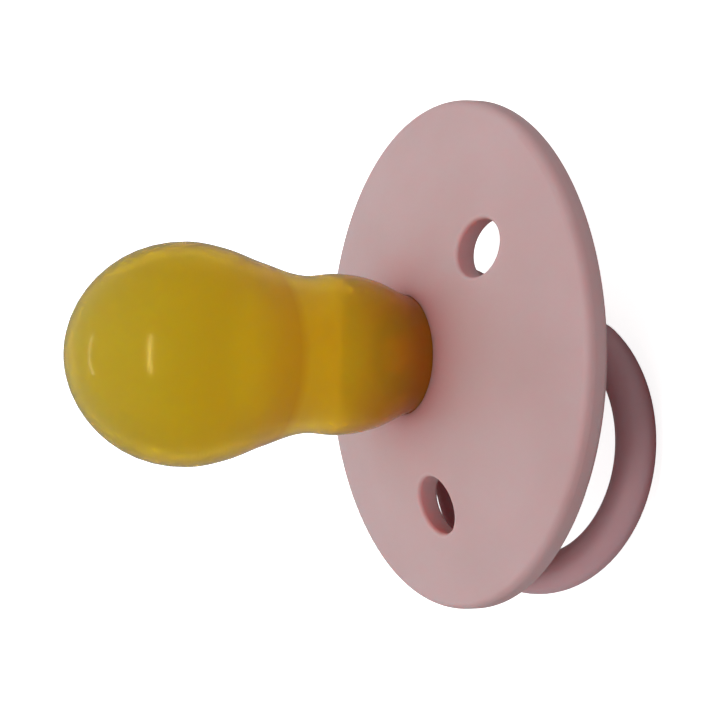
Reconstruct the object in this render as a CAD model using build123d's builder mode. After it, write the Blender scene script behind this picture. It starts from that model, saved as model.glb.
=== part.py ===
from build123d import *
from math import cos, radians, sin, sqrt, tan
import os

# A baby's soother: a latex teat, a domed shield, a holder plug inside the teat's neck, a pull ring that
# swings in the plug's rear knob, and a button that closes the knob over the ring's bar.
# Millimetres. +Z is the teat's axis, towards the mouth. The origin is the centre of the button's flat
# rear face, on which the soother can stand. The ring hangs towards -Y.

# --- Driving dimensions -----------------------------------------------------------------------------
SHIELD_RADIUS = 21.5
SHIELD_WALL = 1.9
DOME_RADIUS = 48.5          # radius of the shield's front face, which bulges towards the mouth
CROWN_Z = 18.15             # height that the dome's front face would reach on the axis
RIM_ROUND = 1.0             # front corner of the rim; the rear corner is crisper
RIM_REAR_ROUND = 0.4
VENT_RADIUS = 2.4
VENT_CIRCLE = 12.85
VENT_COUNT = 3
VENT_ROUND = 0.32
COLLAR_OUTER = 7.3          # rear collar of the shield, which the plug snaps into
COLLAR_BORE = 6.3
COLLAR_END_Z = 11.2
SEAT_Z = 15.6               # rear face of the dome, inside the collar

NECK_RADIUS = 5.0           # outside of the teat where it passes through the shield
NECK_TOP_Z = 17.9
LATEX_WALL = 1.2
BULB_RADIUS = 9.17
BULB_Z = 38.2               # height of the bulb's widest place
CAP_RISE = 6.5              # how far the bulb's end keeps its width, and how blunt the tip is
CAP_WIDTH = 3.8
TIP_Z = 48.3
TEAT_SIDE = (               # radius and height of the teat's outside: base, barrel, waist, bulb
    (NECK_RADIUS, NECK_TOP_Z),
    (6.3, 21.4),
    (6.7, 24.0),
    (6.55, 27.7),
    (7.65, 31.9),
    (8.75, 35.3),
    (BULB_RADIUS, BULB_Z),
)
FLANGE_RADIUS = 6.1
FLANGE_THICKNESS = 1.25
GAP = 0.05                  # between pieces that are pressed or snapped together

PLUG_RADIUS = COLLAR_BORE - GAP
PLUG_END_Z = COLLAR_END_Z - 0.2
BEAD = 0.25                 # snap bead round the plug, and its groove in the collar
BEAD_Z = 12.7
SPIGOT_HEIGHT = 1.4
NOSE_RADIUS = 1.6
NOSE_TOP_Z = 19.0
AIR_HOLE_RADIUS = 0.6
KNOB_RADIUS = 5.2
BUTTON_THICKNESS = 2.2
BUTTON_ROUND = 1.2

RING_RADIUS = 10.73         # centreline of the ring's arc
RING_SECTION = 1.71
RING_REACH = 8.16           # from the bar to the centre of the arc
RING_CORNER = 2.5
BAR_Z = 5.06
ROCK = 15.2                 # degrees that the loose bar stands out of level in its slot
SWING = 1.5                 # degrees that the ring lies towards the shield from level
SLOT_PLAY = 0.06
SLOT_RELIEF = 16.0          # degrees of slope that let the bar rock in the slot
PEG_RADIUS = 0.9
PEG_OFFSET = 3.45
PEG_LENGTH = 3.6

os.makedirs("parts", exist_ok=True)


def dome_z(radius, drop=0.0):
    """Height of the dome at a radius; drop is the depth below the front face, along the normal."""
    sphere = DOME_RADIUS - drop
    return CROWN_Z - DOME_RADIUS + sqrt(sphere**2 - radius**2)


def relief(half_width, level, slope):
    """Corners of a shallow roof along X: level at the middle, slope degrees down towards both ends."""
    end = level - half_width * tan(radians(slope))
    return (-half_width, end), (0, level), (half_width, end)


# --- Teat: a hollow latex bulb and neck, with a flange behind the shield ---------------------------
def teat_outline(inset):
    """Draws the teat's half outline from the shield to the tip, moved inwards by inset."""
    side = Spline(*[(radius - inset, z) for radius, z in TEAT_SIDE], tangents=[(0.25, 1), (0, 1)])
    shoulder = (BULB_RADIUS - inset, BULB_Z + CAP_RISE - inset / 2)
    tip = (0, TIP_Z - inset)
    cap = Bezier(side @ 1, shoulder, (CAP_WIDTH - inset / 2, TIP_Z - inset), tip)
    return side @ 0, cap @ 1


with BuildPart() as teat:
    with BuildSketch(Plane.XZ):
        with BuildLine():
            outer_base, outer_tip = teat_outline(0)
            inner_base, inner_tip = teat_outline(LATEX_WALL)
            Line(outer_tip, inner_tip)
            bore = NECK_RADIUS - LATEX_WALL
            flange_top = SEAT_Z - GAP
            flange_end = flange_top - FLANGE_THICKNESS
            Polyline(
                inner_base,
                (bore, flange_end),
                (FLANGE_RADIUS, flange_end),
                (FLANGE_RADIUS, flange_top),
                (NECK_RADIUS, flange_top),
                outer_base,
            )
        make_face()
    revolve(axis=Axis.Z)
teat.part.label = "teat"

# --- Shield: a round dome with three vents and a rear collar ---------------------------------------
with BuildPart() as shield:
    with BuildSketch(Plane.XZ) as wall:
        with BuildLine():
            front = ThreePointArc(
                (0, CROWN_Z),
                (SHIELD_RADIUS / 2, dome_z(SHIELD_RADIUS / 2)),
                (SHIELD_RADIUS, dome_z(SHIELD_RADIUS)),
            )
            edge = Line(front @ 1, (SHIELD_RADIUS, dome_z(SHIELD_RADIUS, SHIELD_WALL)))
            rear = ThreePointArc(
                edge @ 1,
                (SHIELD_RADIUS / 2, dome_z(SHIELD_RADIUS / 2, SHIELD_WALL)),
                (0, CROWN_Z - SHIELD_WALL),
            )
            Line(rear @ 1, front @ 0)
        make_face()
        fillet(wall.vertices().group_by(Axis.X)[-1].sort_by(Axis.Y)[-1], RIM_ROUND)
        fillet(wall.vertices().sort_by(Axis.X)[-2:].sort_by(Axis.Y)[0], RIM_REAR_ROUND)
    revolve(axis=Axis.Z)
    with BuildSketch(Plane.XY.offset(COLLAR_END_Z)):
        Circle(COLLAR_OUTER)
    extrude(amount=CROWN_Z - SHIELD_WALL - COLLAR_END_Z)
    fillet(shield.faces().sort_by(Axis.Z)[0].edges(), 0.4)
    with BuildSketch(Plane.XY.offset(COLLAR_END_Z)):
        Circle(COLLAR_BORE)
    extrude(amount=SEAT_Z - COLLAR_END_Z, mode=Mode.SUBTRACT)
    with BuildSketch(Plane.XY.offset(COLLAR_END_Z)):
        Circle(NECK_RADIUS + GAP)
        with PolarLocations(VENT_CIRCLE, VENT_COUNT, start_angle=-90):
            Circle(VENT_RADIUS)
    extrude(amount=CROWN_Z - COLLAR_END_Z, mode=Mode.SUBTRACT)
    with BuildSketch(Plane.XZ):
        with Locations((COLLAR_BORE, BEAD_Z)):
            Circle(BEAD + GAP)
    revolve(axis=Axis.Z, mode=Mode.SUBTRACT)
    vents = [
        face
        for face in shield.faces().filter_by(GeomType.CYLINDER)
        if abs(face.radius - VENT_RADIUS) < 0.01
    ]
    vent_edges = [e for face in vents for e in face.edges() if e.geom_type != GeomType.LINE]
    fillet(vent_edges, VENT_ROUND)
shield.part.label = "shield"

# --- Plug: holds the teat's flange, and carries the ring's bar in its rear knob --------------------
BAR_ROOM = (RING_SECTION + SLOT_PLAY) / cos(radians(ROCK))
SLOT_FLOOR_Z = BAR_Z + BAR_ROOM
SLOT_WIDTH = 2 * (RING_SECTION + SLOT_PLAY)
FLANGE_REAR_Z = SEAT_Z - GAP - FLANGE_THICKNESS

with BuildPart() as plug:
    with BuildSketch(Plane.XY.offset(PLUG_END_Z)):
        Circle(PLUG_RADIUS)
    extrude(amount=FLANGE_REAR_Z - PLUG_END_Z)
    with BuildSketch(Plane.XY.offset(FLANGE_REAR_Z)):
        Circle(NECK_RADIUS - LATEX_WALL - GAP)
    extrude(amount=SPIGOT_HEIGHT, taper=3)
    with BuildSketch(Plane.XY.offset(FLANGE_REAR_Z)):
        Circle(NOSE_RADIUS)
    extrude(amount=NOSE_TOP_Z - FLANGE_REAR_Z)
    fillet(plug.faces().sort_by(Axis.Z)[-1].edges(), 0.4)
    with BuildSketch(Plane.XZ):
        with Locations((PLUG_RADIUS, BEAD_Z)):
            Circle(BEAD)
    revolve(axis=Axis.Z)
    with BuildSketch(Plane.XY.offset(BUTTON_THICKNESS)):
        Circle(KNOB_RADIUS)
    extrude(amount=PLUG_END_Z - BUTTON_THICKNESS)
    # the slot is open to the rear, and its floor falls away towards both ends
    with BuildSketch(Plane.XZ) as slot:
        with BuildLine():
            left, middle, right = relief(KNOB_RADIUS + 1, SLOT_FLOOR_Z, -SLOT_RELIEF)
            Polyline(left, middle, right, (KNOB_RADIUS + 1, 0), (-KNOB_RADIUS - 1, 0), close=True)
        make_face()
    extrude(amount=SLOT_WIDTH / 2, both=True, mode=Mode.SUBTRACT)
    with BuildSketch(Plane.XY.offset(BUTTON_THICKNESS)):
        with Locations((0, PEG_OFFSET), (0, -PEG_OFFSET)):
            Circle(PEG_RADIUS + GAP)
    extrude(amount=PEG_LENGTH + 2 * GAP, mode=Mode.SUBTRACT)
    with BuildSketch(Plane.XY.offset(BUTTON_THICKNESS)):
        Circle(AIR_HOLE_RADIUS)
    extrude(amount=NOSE_TOP_Z - BUTTON_THICKNESS, mode=Mode.SUBTRACT)
plug.part.label = "plug"

# --- Button: caps the slot behind the bar, on two pegs ---------------------------------------------
RIB_TOP_Z = BAR_Z - BAR_ROOM
RIB_WIDTH = SLOT_WIDTH - 2 * GAP

with BuildPart() as button:
    with BuildSketch(Plane.XY):
        Circle(KNOB_RADIUS)
    extrude(amount=BUTTON_THICKNESS - GAP / 5)
    fillet(button.faces().sort_by(Axis.Z)[0].edges(), BUTTON_ROUND)
    with BuildSketch(Plane.XY.offset(BUTTON_THICKNESS / 2)):
        Rectangle(2 * KNOB_RADIUS - 1.6, RIB_WIDTH)
    extrude(amount=RIB_TOP_Z - BUTTON_THICKNESS / 2)
    with BuildSketch(Plane.XZ):
        with BuildLine():
            left, middle, right = relief(KNOB_RADIUS + 1, RIB_TOP_Z, SLOT_RELIEF)
            Polyline(left, middle, right, (KNOB_RADIUS + 1, 9), (-KNOB_RADIUS - 1, 9), close=True)
        make_face()
    extrude(amount=SLOT_WIDTH / 2, both=True, mode=Mode.SUBTRACT)
    with BuildSketch(Plane.XY.offset(BUTTON_THICKNESS / 2)):
        with Locations((0, PEG_OFFSET), (0, -PEG_OFFSET)):
            Circle(PEG_RADIUS)
    extrude(amount=PEG_LENGTH + BUTTON_THICKNESS / 2)
button.part.label = "button"

# --- Ring: a round loop closed by a straight bar, on the swing axis --------------------------------
bar_direction = (cos(radians(ROCK)), 0, -sin(radians(ROCK)))
level = Plane(origin=(0, 0, BAR_Z), x_dir=bar_direction, z_dir=(sin(radians(ROCK)), 0, cos(radians(ROCK))))
ring_plane = level.rotated((-SWING, 0, 0))
half_bar = sqrt(RING_RADIUS**2 - RING_REACH**2)

with BuildPart() as ring:
    with BuildLine(ring_plane) as loop:
        arc = ThreePointArc((half_bar, 0), (0, -RING_REACH - RING_RADIUS), (-half_bar, 0))
        Line(arc @ 1, arc @ 0)
        fillet(loop.vertices(), RING_CORNER)
    path = loop.wires()[0]
    start = path.edges().sort_by(Axis.Y)[0]
    with BuildSketch(Plane(origin=path @ 0, z_dir=path % 0)):
        Circle(RING_SECTION)
    sweep(path=path)
ring.part.label = "ring"

for piece in (teat, shield, plug, button, ring):
    export_step(piece.part, f"parts/{piece.part.label}.step")
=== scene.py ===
"""A baby's soother: an amber latex teat, a pink domed shield with three vents, and a swinging pull ring."""
import logging
import math
from dataclasses import dataclass, field
from enum import Enum
from typing import Sequence

import bpy
from mathutils import Matrix, Vector


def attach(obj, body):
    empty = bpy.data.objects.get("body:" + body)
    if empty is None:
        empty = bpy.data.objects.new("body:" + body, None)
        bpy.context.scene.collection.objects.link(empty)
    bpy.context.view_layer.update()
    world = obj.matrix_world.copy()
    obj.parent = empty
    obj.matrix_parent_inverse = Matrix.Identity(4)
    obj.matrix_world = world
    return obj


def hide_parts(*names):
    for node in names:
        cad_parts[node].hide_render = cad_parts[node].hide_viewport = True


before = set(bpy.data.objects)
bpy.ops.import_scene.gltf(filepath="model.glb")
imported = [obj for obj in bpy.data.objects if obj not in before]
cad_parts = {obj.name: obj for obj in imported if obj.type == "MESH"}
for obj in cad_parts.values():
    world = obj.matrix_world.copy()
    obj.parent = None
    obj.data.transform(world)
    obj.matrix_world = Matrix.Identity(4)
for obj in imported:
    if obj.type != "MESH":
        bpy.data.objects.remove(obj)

MM = 0.001
FULL_TURN = 2 * math.pi
MERGE_DISTANCE = 1e-6
# Painted shade: the mouldings get deep red painted where other surfaces shut them in, found with an ambient
# occlusion mask.
PAINTED_SHADE_SAMPLES = 12
PAINTED_SHADE_SHUT = 0.10        # share of open sky below which a place counts as shut in
PAINTED_SHADE_OPEN = 0.90        # and above which it counts as open

log = logging.getLogger("soother")

Colour = tuple[float, float, float]
Direction = tuple[float, float, float]


class Body(Enum):
    """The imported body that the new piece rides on; the ring's CAD node rides on its own already."""

    SOOTHER = "soother"


class Slot(Enum):
    """A material slot of the record, named here but not used by any piece."""

    LATEX = "latex"


class Moulding(Enum):
    """The CAD nodes that stay in view, because their shapes are right."""

    SHIELD = "shield"
    PLUG = "plug"
    BUTTON = "button"
    RING = "ring"


# --- Modelling tools --------------------------------------------------------------------------------
def deselect_everything() -> None:
    """Leaves edit mode and clears the selection, so that an operator acts on its own object only."""
    if bpy.context.object is not None and bpy.context.object.mode != "OBJECT":
        bpy.ops.object.mode_set(mode="OBJECT")
    bpy.ops.object.select_all(action="DESELECT")


def pick(piece: bpy.types.Object) -> None:
    """Makes a piece the only selected object, and the active one.

    Args:
        piece: The object that the next operators act on.
    """
    deselect_everything()
    piece.select_set(True)
    bpy.context.view_layer.objects.active = piece


def edit_all(piece: bpy.types.Object) -> None:
    """Opens a piece in edit mode with all of it selected.

    Args:
        piece: The mesh object to edit.
    """
    pick(piece)
    bpy.ops.object.mode_set(mode="EDIT")
    bpy.ops.mesh.select_all(action="SELECT")


def apply_modifiers(piece: bpy.types.Object) -> None:
    """Applies a piece's modifiers in order.

    Args:
        piece: The object whose modifiers become part of its mesh.
    """
    pick(piece)
    for modifier in list(piece.modifiers):
        bpy.ops.object.modifier_apply(modifier=modifier.name)


def close_up(piece: bpy.types.Object) -> None:
    """Merges coincident points and turns all faces outwards.

    Args:
        piece: The mesh object to mend.
    """
    edit_all(piece)
    bpy.ops.mesh.remove_doubles(threshold=MERGE_DISTANCE)
    bpy.ops.mesh.normals_make_consistent(inside=False)
    bpy.ops.object.mode_set(mode="OBJECT")


def smooth(piece: bpy.types.Object, crease: float = 35.0) -> None:
    """Shades a piece smooth, apart from its sharp edges.

    Args:
        piece: The mesh object to shade.
        crease: The angle in degrees from which an edge stays sharp.
    """
    pick(piece)
    bpy.ops.object.shade_smooth_by_angle(angle=math.radians(crease))


def finish_piece(
    piece: bpy.types.Object,
    material: bpy.types.Material,
    body: Body,
    stands_for: Sequence[str] = (),
) -> None:
    """Dresses a new piece and joins it to the frame.

    Args:
        piece: The finished mesh object.
        material: Its finish.
        body: The body that it rides on.
        stands_for: The CAD nodes that it replaces.
    """
    piece.data.materials.clear()
    piece.data.materials.append(material)
    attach(piece, body.value)
    if stands_for:
        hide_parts(*stands_for)
    log.info("%s: %d faces", piece.name, len(piece.data.polygons))


def dress_node(moulding: Moulding, material: bpy.types.Material) -> None:
    """Gives a CAD node that stays in view its finish.

    Args:
        moulding: The node.
        material: The finish for all of it.
    """
    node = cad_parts[moulding.value]
    node.data.materials.clear()
    node.data.materials.append(material)
    log.info("%s: CAD node, %d faces", moulding.value, len(node.data.polygons))


# --- Finishes ---------------------------------------------------------------------------------------
class NodeBook:
    """Adds nodes to one material in reading order."""

    def __init__(self, name: str) -> None:
        """Starts an empty material.

        Args:
            name: The material's name.
        """
        self.material = bpy.data.materials.new(name)
        self.material.use_nodes = True
        self.tree = self.material.node_tree
        self.tree.nodes.clear()
        self.output = self.add("OutputMaterial")
        self.place = self.add("TexCoord").outputs["Object"]

    def add(self, kind: str, **settings: object) -> bpy.types.Node:
        """Adds a node.

        Args:
            kind: The node's type, without its ShaderNode prefix.
            settings: Properties of the node.

        Returns:
            The new node.
        """
        node = self.tree.nodes.new(f"ShaderNode{kind}")
        for key, value in settings.items():
            setattr(node, key, value)
        return node

    def link(self, source: bpy.types.NodeSocket, target: bpy.types.NodeSocket) -> None:
        """Links two sockets."""
        self.tree.links.new(source, target)

    def noise(self, size: float, detail: float = 2.0, roughness: float = 0.5) -> bpy.types.NodeSocket:
        """Adds a noise pattern.

        Args:
            size: The width of its largest features, in metres.
            detail: How many finer octaves it has.
            roughness: How strong the finer octaves are.

        Returns:
            The pattern's value, from 0 to 1.
        """
        node = self.add("TexNoise")
        node.inputs["Scale"].default_value = 1 / size
        node.inputs["Detail"].default_value = detail
        node.inputs["Roughness"].default_value = roughness
        self.link(self.place, node.inputs["Vector"])
        return node.outputs["Fac"]

    def spread(self, value: bpy.types.NodeSocket, low: float, high: float,
               source_low: float = 0.3, source_high: float = 0.7) -> bpy.types.NodeSocket:
        """Maps a pattern's middle values to a range.

        Args:
            value: The pattern.
            low: The result at source_low and below.
            high: The result at source_high and above.
            source_low: The pattern's value that gives low.
            source_high: The pattern's value that gives high.

        Returns:
            The mapped value.
        """
        node = self.add("MapRange")
        for key, number in (("From Min", source_low), ("From Max", source_high),
                            ("To Min", low), ("To Max", high)):
            node.inputs[key].default_value = number
        self.link(value, node.inputs["Value"])
        return node.outputs["Result"]

    def blend(self, share: bpy.types.NodeSocket, first: Colour, second: Colour) -> bpy.types.NodeSocket:
        """Mixes two colours by a pattern.

        Args:
            share: How much of the second colour shows.
            first: The colour at 0.
            second: The colour at 1.

        Returns:
            The mixed colour.
        """
        node = self.add("Mix", data_type="RGBA")
        node.inputs["A"].default_value = (*first, 1.0)
        node.inputs["B"].default_value = (*second, 1.0)
        self.link(share, node.inputs["Factor"])
        return node.outputs["Result"]

    def painted_shade_mask(self, reach: float) -> bpy.types.NodeSocket:
        """Finds the places that the object's other surfaces shut in, where painted shade goes.

        Args:
            reach: How near the surfaces are, in metres.

        Returns:
            How far a place is shut in, from 0 to 1.
        """
        node = self.add("AmbientOcclusion", samples=PAINTED_SHADE_SAMPLES)
        node.inputs["Distance"].default_value = reach
        return self.spread(node.outputs["AO"], 1.0, 0.0, PAINTED_SHADE_SHUT, PAINTED_SHADE_OPEN)

    def band(self, low: float, peak: float, high: float, strength: float) -> bpy.types.NodeSocket:
        """Marks a band round the piece that rises quickly and fades slowly.

        Args:
            low: The height where it starts, in metres.
            peak: The height where it is strongest, in metres.
            high: The height where it has faded away, in metres.
            strength: Its value at the peak.

        Returns:
            The strength, falling to 0 above and below.
        """
        product = self.add("Math", operation="MULTIPLY")
        height = self.height()
        self.link(self.spread(height, 0.0, 1.0, low, peak), product.inputs[0])
        self.link(self.spread(height, strength, 0.0, peak, high), product.inputs[1])
        return product.outputs["Value"]

    def height(self) -> bpy.types.NodeSocket:
        """Returns the height above the floor, in metres, on the piece at rest."""
        node = self.add("SeparateXYZ")
        self.link(self.place, node.inputs["Vector"])
        return node.outputs["Z"]

    def blend_over(self, share: bpy.types.NodeSocket, first: bpy.types.NodeSocket,
                   second: Colour) -> bpy.types.NodeSocket:
        """Mixes a colour over a patterned one.

        Args:
            share: How much of the second colour shows.
            first: The patterned colour.
            second: The colour at 1.

        Returns:
            The mixed colour.
        """
        node = self.add("Mix", data_type="RGBA")
        node.inputs["B"].default_value = (*second, 1.0)
        self.link(first, node.inputs["A"])
        self.link(share, node.inputs["Factor"])
        return node.outputs["Result"]

    def bump(self, height: bpy.types.NodeSocket, depth: float, strength: float = 1.0,
             under: bpy.types.NodeSocket | None = None) -> bpy.types.NodeSocket:
        """Turns a pattern into relief.

        Args:
            height: The pattern.
            depth: The relief's depth in metres.
            strength: How much of it shows.
            under: The normal of a coarser relief that this one lies on.

        Returns:
            The bumped normal.
        """
        node = self.add("Bump")
        node.inputs["Distance"].default_value = depth
        node.inputs["Strength"].default_value = strength
        self.link(height, node.inputs["Height"])
        if under is not None:
            self.link(under, node.inputs["Normal"])
        return node.outputs["Normal"]


@dataclass(frozen=True)
class MouldedPlastic:
    """Fine-grained matte polypropylene, slightly translucent, with painted shade: deep red painted where
    other surfaces shut it in.
    """

    name: str
    tone: Colour = (0.556, 0.384, 0.394)
    shade: Colour = (0.528, 0.357, 0.363)
    patch_size: float = 9 * MM
    grain_size: float = 0.16 * MM
    grain_depth: float = 0.006 * MM
    ripple_size: float = 2.2 * MM
    ripple_depth: float = 0.010 * MM
    sheen_low: float = 0.42
    sheen_high: float = 0.52
    refraction: float = 1.49
    # Painted shade: the deep red painted into shut-in places, standing in for the red light that reaches
    # them through the plastic.
    painted_shade_tone: Colour = (0.52, 0.095, 0.100)
    painted_shade_reach: float = 7 * MM
    glow: float = 1.0
    glow_depth: float = 1.0 * MM
    glow_reach: Colour = (3.2, 0.7, 0.6)

    def build(self) -> bpy.types.Material:
        """Returns the finish as a node material."""
        book = NodeBook(self.name)
        shader = book.add("BsdfPrincipled")
        patches = book.spread(book.noise(self.patch_size), 0.0, 1.0)
        grain = book.noise(self.grain_size, detail=3.0, roughness=0.6)
        ripple = book.noise(self.ripple_size, detail=1.0)
        skin = book.blend(patches, self.tone, self.shade)
        # Painted shade: deep red painted over the skin where other surfaces shut it in.
        skin_with_painted_shade = book.blend_over(book.painted_shade_mask(self.painted_shade_reach), skin, self.painted_shade_tone)
        book.link(skin_with_painted_shade, shader.inputs["Base Color"])
        book.link(book.spread(grain, self.sheen_low, self.sheen_high), shader.inputs["Roughness"])
        normal = book.bump(ripple, self.ripple_depth)
        book.link(book.bump(grain, self.grain_depth, under=normal), shader.inputs["Normal"])
        shader.inputs["IOR"].default_value = self.refraction
        shader.inputs["Subsurface Weight"].default_value = self.glow
        shader.inputs["Subsurface Scale"].default_value = self.glow_depth
        shader.inputs["Subsurface Radius"].default_value = self.glow_reach
        book.link(shader.outputs["BSDF"], book.output.inputs["Surface"])
        return book.material


@dataclass(frozen=True)
class AmberLatex:
    """Natural rubber latex: cloudy amber, half clear, browner at the base, with painted shade that darkens
    the bulb towards its tip and a band at the waist's crease.

    Lamplight passes through the teat as through tinted glass, so its shadow is soft and warm.
    """

    name: str
    pale: Colour = (0.835, 0.725, 0.034)
    deep: Colour = (0.785, 0.660, 0.027)
    brown: Colour = (0.665, 0.305, 0.021)
    # Painted shade: the bulb darkened towards its tip, to offset the light that falls on it from the teat's
    # side.
    tip_shade_tone: Colour = (0.645, 0.575, 0.046)
    tip_shade_low: float = 28.0 * MM
    tip_shade_high: float = 46.0 * MM
    base_low: float = 19.0 * MM
    base_high: float = 26.6 * MM
    cloud_size: float = 7 * MM
    clearness: float = 0.64
    gloss: float = 0.15
    refraction: float = 1.30
    glow: float = 1.0
    glow_depth: float = 2.0 * MM
    glow_reach: Colour = (1.0, 0.55, 0.12)
    tint: Colour = (0.96, 0.76, 0.16)
    tint_density: float = 500.0
    # Painted shade: a darker band painted at the waist's crease, where the curved wall looks dark.
    waist_low: float = 30.4 * MM
    waist_peak: float = 31.5 * MM
    waist_high: float = 36.5 * MM
    waist_shade_tone: Colour = (0.60, 0.36, 0.014)
    waist_shade_strength: float = 0.6
    sheen_tint: Colour = (1.0, 0.86, 0.38)
    shadow_tint: Colour = (0.54, 0.42, 0.20)

    def build(self) -> bpy.types.Material:
        """Returns the finish as a node material."""
        book = NodeBook(self.name)
        shader = book.add("BsdfPrincipled")
        clouds = book.spread(book.noise(self.cloud_size, detail=3.0), 0.0, 1.0)
        cloudy = book.blend(clouds, self.pale, self.deep)
        base = book.spread(book.height(), 1.0, 0.0, self.base_low, self.base_high)
        # Painted shade: darker towards the tip of the bulb.
        far = book.spread(book.height(), 0.0, 1.0, self.tip_shade_low, self.tip_shade_high)
        barrel = book.blend_over(base, book.blend_over(far, cloudy, self.tip_shade_tone), self.brown)
        # Painted shade: the dark band at the waist's crease.
        waist = book.band(self.waist_low, self.waist_peak, self.waist_high, self.waist_shade_strength)
        book.link(book.blend_over(waist, barrel, self.waist_shade_tone), shader.inputs["Base Color"])
        shader.inputs["Roughness"].default_value = self.gloss
        shader.inputs["Specular Tint"].default_value = (*self.sheen_tint, 1.0)
        shader.inputs["IOR"].default_value = self.refraction
        shader.inputs["Transmission Weight"].default_value = self.clearness
        shader.inputs["Subsurface Weight"].default_value = self.glow
        shader.inputs["Subsurface Scale"].default_value = self.glow_depth
        shader.inputs["Subsurface Radius"].default_value = self.glow_reach
        absorption = book.add("VolumeAbsorption")
        absorption.inputs["Color"].default_value = (*self.tint, 1.0)
        absorption.inputs["Density"].default_value = self.tint_density
        lamplight = book.add("BsdfTransparent")
        lamplight.inputs["Color"].default_value = (*self.shadow_tint, 1.0)
        path = book.add("LightPath")
        choice = book.add("MixShader")
        book.link(path.outputs["Is Shadow Ray"], choice.inputs["Fac"])
        book.link(shader.outputs["BSDF"], choice.inputs[1])
        book.link(lamplight.outputs["BSDF"], choice.inputs[2])
        book.link(choice.outputs["Shader"], book.output.inputs["Surface"])
        book.link(absorption.outputs["Volume"], book.output.inputs["Volume"])
        return book.material


# --- Pieces -----------------------------------------------------------------------------------------
@dataclass
class Teat:
    """The hollow latex teat: a round bulb, a waisted barrel, and a flange behind the shield.

    Sizes are in millimetres, and side gives radii and heights from the neck up to the bulb.
    """

    wall: float = 1.2
    neck_radius: float = 5.0
    neck_top: float = 17.9
    seat: float = 15.55
    flange_radius: float = 6.1
    tip: float = 48.3
    blunt_width: float = 3.8
    bulb_rise: float = 6.5
    bulb_fall: float = 0.97
    neck_lean: tuple[float, float] = (0.28, 1.12)
    lip_width: float = 0.2
    lip_segments: int = 3
    lip_angle: float = 60.0
    outline_steps: int = 14
    steps: int = 144
    side: tuple[tuple[float, float], ...] = (
        (6.3, 21.4),
        (6.7, 24.0),
        (6.55, 27.7),
        (7.65, 31.9),
        (8.75, 35.3),
        (9.17, 38.2),
    )
    finish: AmberLatex = field(default_factory=lambda: AmberLatex("amber_latex"))

    def outline(self) -> bpy.types.Object:
        """Draws the outside from the tip down to the neck as a curve.

        Returns:
            The outline as an open mesh line in the XZ plane.
        """
        deselect_everything()
        bpy.ops.curve.primitive_bezier_curve_add()
        line = bpy.context.object
        spline = line.data.splines[0]
        stations = [(0.0, self.tip), *reversed(self.side), (self.neck_radius, self.neck_top)]
        spline.bezier_points.add(len(stations) - len(spline.bezier_points))
        for point, (radius, height) in zip(spline.bezier_points, stations):
            point.co = (radius * MM, 0, height * MM)
            point.handle_left_type = point.handle_right_type = "AUTO"
        tip, bulb, neck = spline.bezier_points[0], spline.bezier_points[1], spline.bezier_points[-1]
        for point in (tip, bulb, neck):
            point.handle_left_type = point.handle_right_type = "FREE"
        tip.handle_right = (self.blunt_width * MM, 0, self.tip * MM)
        tip.handle_left = (-self.blunt_width * MM, 0, self.tip * MM)
        bulb.handle_left = bulb.co + Vector((0, 0, self.bulb_rise * MM))
        bulb.handle_right = bulb.co - Vector((0, 0, self.bulb_fall * MM))
        neck.handle_left = neck.co + Vector((self.neck_lean[0], 0, self.neck_lean[1])) * MM
        neck.handle_right = neck.co - Vector((0, 0, MM))
        line.data.resolution_u = self.outline_steps
        pick(line)
        bpy.ops.object.convert(target="MESH")
        return bpy.context.object

    def build(self) -> bpy.types.Object:
        """Spins the outline, turns the flange out and gives the wall its thickness.

        Returns:
            The finished teat.
        """
        teat = self.outline()
        teat.name = "latex_teat"
        neck = min(teat.data.vertices, key=lambda point: point.co.z).index
        pick(teat)
        bpy.ops.object.mode_set(mode="EDIT")
        bpy.ops.mesh.select_all(action="DESELECT")
        bpy.ops.object.mode_set(mode="OBJECT")
        teat.data.vertices[neck].select = True
        bpy.ops.object.mode_set(mode="EDIT")
        bpy.ops.mesh.select_mode(type="VERT")
        down = (0, 0, (self.seat - self.neck_top) * MM)
        out = ((self.flange_radius - self.neck_radius) * MM, 0, 0)
        for step in (down, out):
            bpy.ops.mesh.extrude_region_move(TRANSFORM_OT_translate={"value": step})
        bpy.ops.mesh.select_all(action="SELECT")
        bpy.ops.mesh.spin(steps=self.steps, angle=FULL_TURN, center=(0, 0, 0), axis=(0, 0, 1))
        close_up(teat)
        wall = teat.modifiers.new("wall", "SOLIDIFY")
        wall.thickness = self.wall * MM
        wall.offset = -1
        wall.use_even_offset = True
        lip = teat.modifiers.new("lip", "BEVEL")
        lip.width = self.lip_width * MM
        lip.segments = self.lip_segments
        lip.limit_method = "ANGLE"
        lip.angle_limit = math.radians(self.lip_angle)
        apply_modifiers(teat)
        smooth(teat)
        finish_piece(teat, self.finish.build(), Body.SOOTHER, ("teat",))
        return teat


@dataclass
class Mouldings:
    """The shield, plug, button and ring: one pink, apart from the ring's rosier batch."""

    # How far the painted shade reaches on the shield and on the ring.
    wide_painted_shade: float = 10 * MM
    narrow_painted_shade: float = 4.5 * MM
    ring_tone: Colour = (0.650, 0.400, 0.430)
    ring_shade: Colour = (0.615, 0.370, 0.400)

    def finishes(self) -> dict[Moulding, MouldedPlastic]:
        """Returns the finish of each moulding."""
        ring = MouldedPlastic("ring_pink", self.ring_tone, self.ring_shade, painted_shade_reach=self.narrow_painted_shade)
        return {
            Moulding.SHIELD: MouldedPlastic("shield_pink", painted_shade_reach=self.wide_painted_shade),
            Moulding.PLUG: MouldedPlastic("plug_pink"),
            Moulding.BUTTON: MouldedPlastic("button_pink"),
            Moulding.RING: ring,
        }

    def build(self) -> None:
        """Dresses the four CAD nodes."""
        for moulding, finish in self.finishes().items():
            dress_node(moulding, finish.build())


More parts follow.
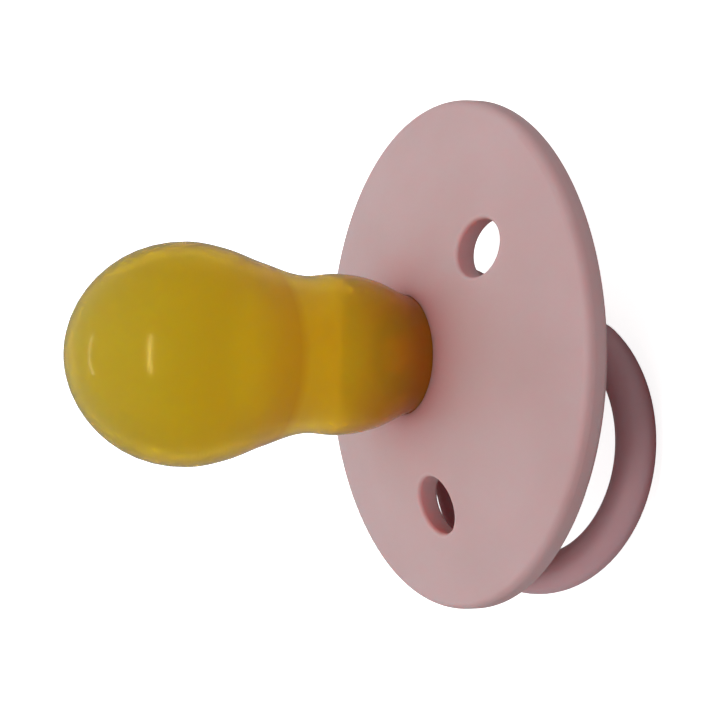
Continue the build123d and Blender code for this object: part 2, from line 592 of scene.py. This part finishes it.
# --- Studio -----------------------------------------------------------------------------------------
@dataclass(frozen=True)
class SoftBox:
    """A narrow soft light.

    Its direction is in parts of the camera's right, up and backward directions, its sizes are in metres,
    and a radiance of 1 is white.
    """

    name: str
    direction: Direction
    width: float
    height: float
    radiance: float


@dataclass
class Studio:
    """A pale floor, soft lights from the teat's side, and the camera."""

    target: Vector = field(default_factory=lambda: Vector((0, 0, 12.7 * MM)))
    soft_boxes: tuple[SoftBox, ...] = (
        SoftBox("side_strip", (-0.98, 0.0, 0.06), 0.02, 0.35, 13.0),
        SoftBox("front_strip", (-0.42, 0.0, 0.91), 0.022, 0.40, 26.0),
    )
    box_distance: float = 0.6
    sensor: float = 36.0
    nearest: float = 0.01
    off_axis: float = 61.0
    bearing: float = -12.6
    distance: float = 0.300
    lens: float = 177.3
    target_right: float = 8.11 * MM
    target_up: float = 0.46 * MM
    floor_size: float = 6.0
    glow_from: Direction = (-0.96, 0.0, 0.28)
    glow_edge: float = 0.05
    tent_low: float = 0.42
    tent_high: float = 1.32
    floor_white: float = 0.92
    floor_roughness: float = 0.9
    floor_sheen: float = 0.1
    floor_lift: float = 0.84
    floor_bounce: float = 0.35

    def axes(self) -> tuple[Vector, Vector, Vector]:
        """Returns the camera's right, up and backward directions."""
        axis = Vector((0, 0, 1))
        side = Matrix.Rotation(math.radians(self.bearing), 3, "Z") @ Vector((1, 0, 0))
        up = axis.cross(side)
        angle = math.radians(self.off_axis)
        back = axis * math.cos(angle) + side * math.sin(angle)
        right = side * math.cos(angle) - axis * math.sin(angle)
        return right, up, back

    def add_camera(self) -> None:
        """Adds the camera, level with the teat's axis."""
        right, up, back = self.axes()
        camera = bpy.data.objects.new("camera", bpy.data.cameras.new("camera"))
        camera.data.lens = self.lens
        camera.data.sensor_width = self.sensor
        camera.data.clip_start = self.nearest
        place = self.target + back * self.distance - right * self.target_right - up * self.target_up
        turn = Matrix((right, up, back)).transposed().to_4x4()
        camera.matrix_world = Matrix.Translation(place) @ turn
        bpy.context.scene.collection.objects.link(camera)
        bpy.context.scene.camera = camera

    def toward(self, direction: Direction) -> Vector:
        """Turns a direction from the camera's terms into the frame's.

        Args:
            direction: Parts of the camera's right, up and backward directions.

        Returns:
            The unit vector in the frame.
        """
        right, up, back = self.axes()
        return (right * direction[0] + up * direction[1] + back * direction[2]).normalized()

    def add_light(self, box: SoftBox) -> None:
        """Adds a soft box that faces the shield.

        Args:
            box: Its place, size and brightness.
        """
        _, up, _ = self.axes()
        toward = self.toward(box.direction)
        lamp = bpy.data.lights.new(box.name, "AREA")
        lamp.shape = "RECTANGLE"
        lamp.size, lamp.size_y = box.width, box.height
        lamp.energy = box.radiance * box.width * box.height * math.pi
        across = up.cross(toward).normalized()
        turn = Matrix((across, toward.cross(across), toward)).transposed().to_4x4()
        light = bpy.data.objects.new(box.name, lamp)
        light.matrix_world = Matrix.Translation(self.target + toward * self.box_distance) @ turn
        bpy.context.scene.collection.objects.link(light)

    def add_surroundings(self) -> None:
        """Adds a white light tent, brightest round the teat's side."""
        world = bpy.data.worlds.new("light_tent")
        world.use_nodes = True
        tree = world.node_tree
        tree.nodes.clear()
        place = tree.nodes.new("ShaderNodeTexCoord")
        facing = tree.nodes.new("ShaderNodeVectorMath")
        facing.operation = "DOT_PRODUCT"
        facing.inputs[1].default_value = self.toward(self.glow_from)
        lobe = tree.nodes.new("ShaderNodeMapRange")
        lobe.interpolation_type = "SMOOTHSTEP"
        lobe.inputs["From Min"].default_value = self.glow_edge
        lobe.inputs["To Min"].default_value = self.tent_low
        lobe.inputs["To Max"].default_value = self.tent_high
        path = tree.nodes.new("ShaderNodeLightPath")
        shown = tree.nodes.new("ShaderNodeMath")
        shown.operation = "MAXIMUM"
        level = tree.nodes.new("ShaderNodeMix")
        level.inputs["B"].default_value = 1.0
        background = tree.nodes.new("ShaderNodeBackground")
        output = tree.nodes.new("ShaderNodeOutputWorld")
        tree.links.new(place.outputs["Generated"], facing.inputs[0])
        tree.links.new(facing.outputs["Value"], lobe.inputs["Value"])
        tree.links.new(path.outputs["Is Camera Ray"], shown.inputs[0])
        tree.links.new(path.outputs["Is Transmission Ray"], shown.inputs[1])
        tree.links.new(shown.outputs["Value"], level.inputs["Factor"])
        tree.links.new(lobe.outputs["Result"], level.inputs["A"])
        tree.links.new(level.outputs["Result"], background.inputs["Strength"])
        tree.links.new(background.outputs["Background"], output.inputs["Surface"])
        bpy.context.scene.world = world

    def add_floor(self) -> None:
        """Adds the plain pale floor that the button stands on."""
        deselect_everything()
        bpy.ops.mesh.primitive_plane_add(size=self.floor_size)
        floor = bpy.context.object
        floor.name = "floor"
        book = NodeBook("pale_floor")
        shown = book.add("BsdfPrincipled")
        shown.inputs["Base Color"].default_value = (self.floor_white,) * 3 + (1,)
        shown.inputs["Roughness"].default_value = self.floor_roughness
        shown.inputs["Specular IOR Level"].default_value = self.floor_sheen
        shown.inputs["Emission Color"].default_value = (1, 1, 1, 1)
        shown.inputs["Emission Strength"].default_value = self.floor_lift
        bounce = book.add("BsdfDiffuse")
        bounce.inputs["Color"].default_value = (self.floor_bounce,) * 3 + (1,)
        path = book.add("LightPath")
        seen = book.add("Math", operation="MAXIMUM")
        choice = book.add("MixShader")
        book.link(path.outputs["Is Camera Ray"], seen.inputs[0])
        book.link(path.outputs["Is Transmission Ray"], seen.inputs[1])
        book.link(seen.outputs["Value"], choice.inputs["Fac"])
        book.link(bounce.outputs["BSDF"], choice.inputs[1])
        book.link(shown.outputs["BSDF"], choice.inputs[2])
        book.link(choice.outputs["Shader"], book.output.inputs["Surface"])
        floor.data.materials.append(book.material)

    def build(self) -> None:
        """Sets up the whole studio."""
        self.add_floor()
        self.add_surroundings()
        for box in self.soft_boxes:
            self.add_light(box)
        self.add_camera()
        bpy.context.scene.view_settings.view_transform = "Standard"


def main() -> None:
    """Builds the soother in the frame and the studio round it."""
    logging.basicConfig(level=logging.INFO, format="%(name)s: %(message)s")
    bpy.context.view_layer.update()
    Teat().build()
    Mouldings().build()
    Studio().build()


if __name__ == "__main__":
    main()
